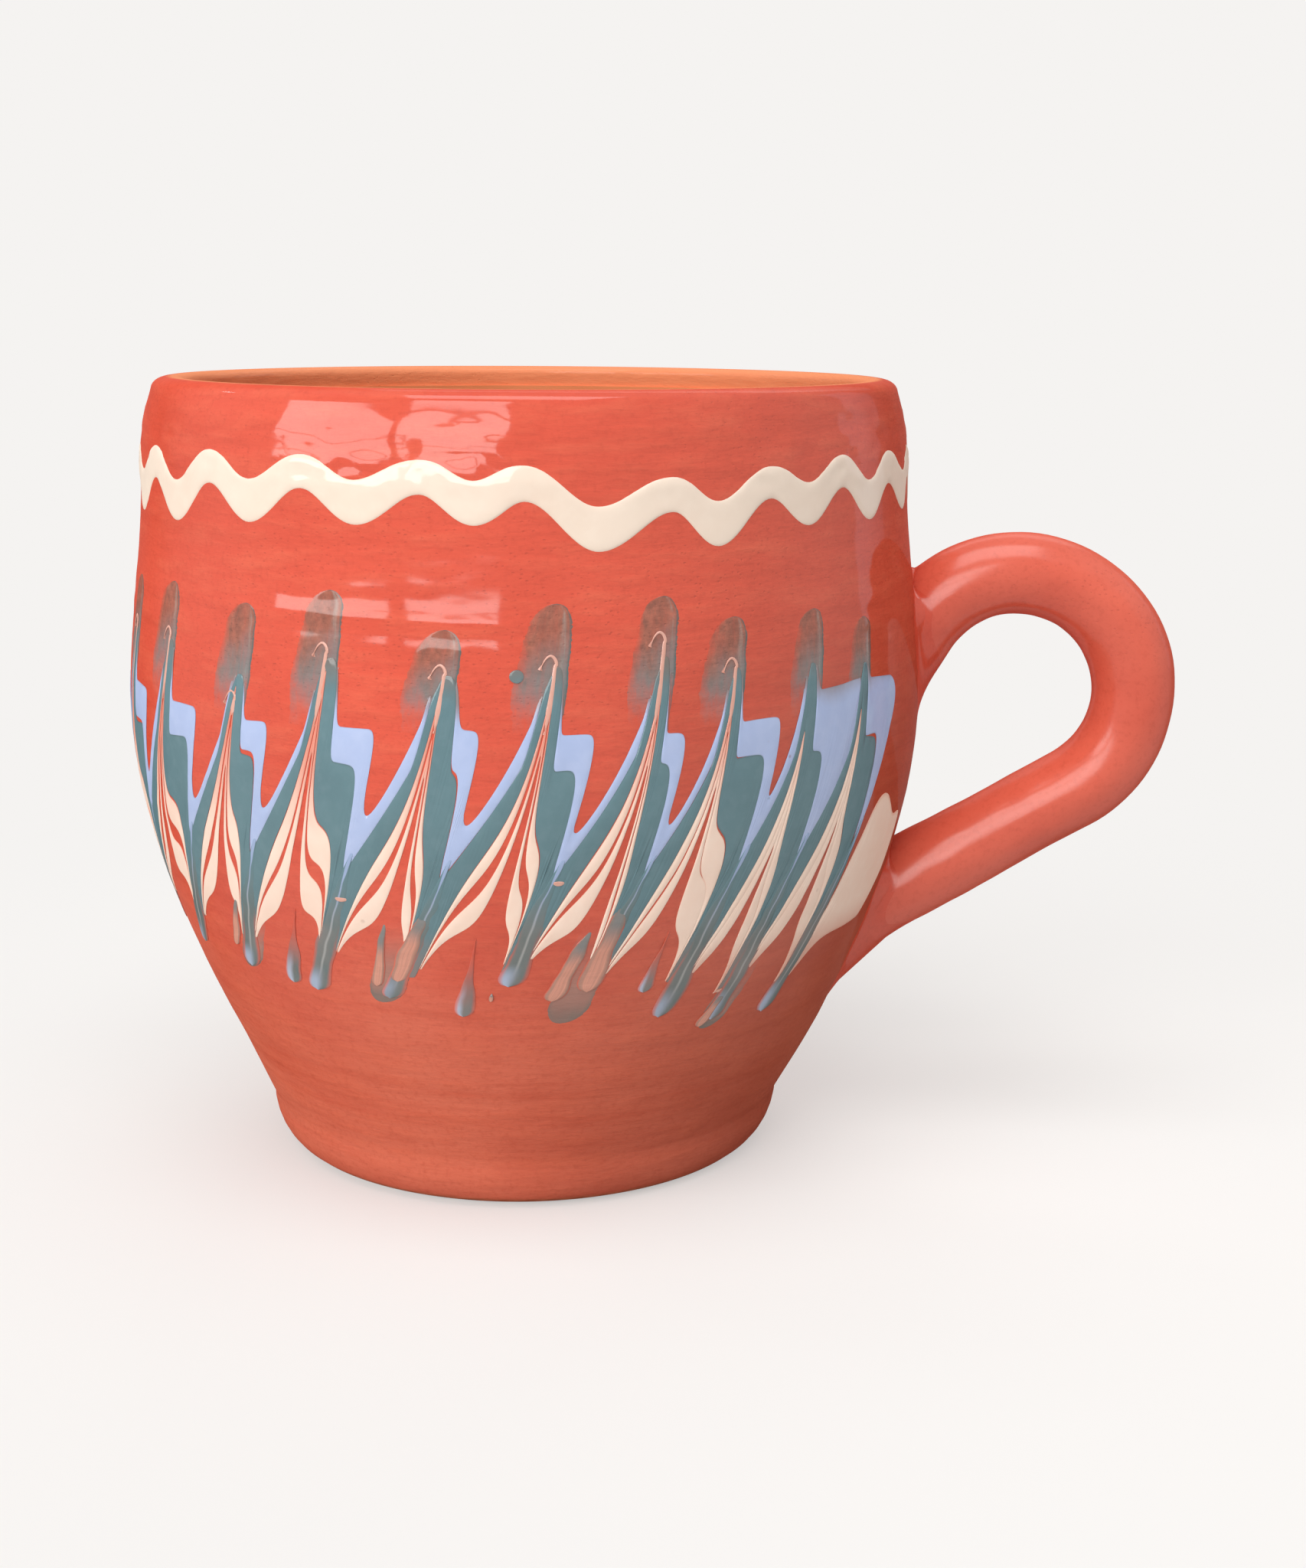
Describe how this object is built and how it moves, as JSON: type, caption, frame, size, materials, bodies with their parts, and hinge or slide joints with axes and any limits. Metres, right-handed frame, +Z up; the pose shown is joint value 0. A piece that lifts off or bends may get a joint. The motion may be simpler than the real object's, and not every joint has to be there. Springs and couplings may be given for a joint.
{
  "type": "clay mug",
  "caption": "Wheel-thrown earthenware mug with a rounded belly, a rolled loop handle, a wavy cream slip line under the lip and combed cream, teal and blue slip around the belly.",
  "frame": {"origin": "middle of the flat base, on the axis of the body", "axes": "+Z up along the axis of the body, +X from the axis towards the handle"},
  "size_m": [0.1214, 0.0924, 0.09],
  "materials": {
    "clay": "red slip under a clear glossy glaze",
    "lining_glaze": "clear glaze over bare clay",
    "handle_clay": "red slip under a clear glossy glaze",
    "luting_slip": "clay slip under a clear glossy glaze",
    "cream_slip": "trailed slip under a clear glossy glaze",
    "blue_slip": "trailed slip under a clear glossy glaze",
    "teal_slip": "trailed slip under a clear glossy glaze"
  },
  "bodies": {
    "root": {"body": "clay", "glaze_lining": "lining_glaze", "handle": "handle_clay", "upper_luting": "luting_slip", "lower_luting": "luting_slip", "wavy_line": "cream_slip", "blue_slip": "blue_slip", "teal_slip": "teal_slip", "upper_cream_slip": "cream_slip", "lower_cream_slip": "cream_slip"}
  },
  "joints": []
}
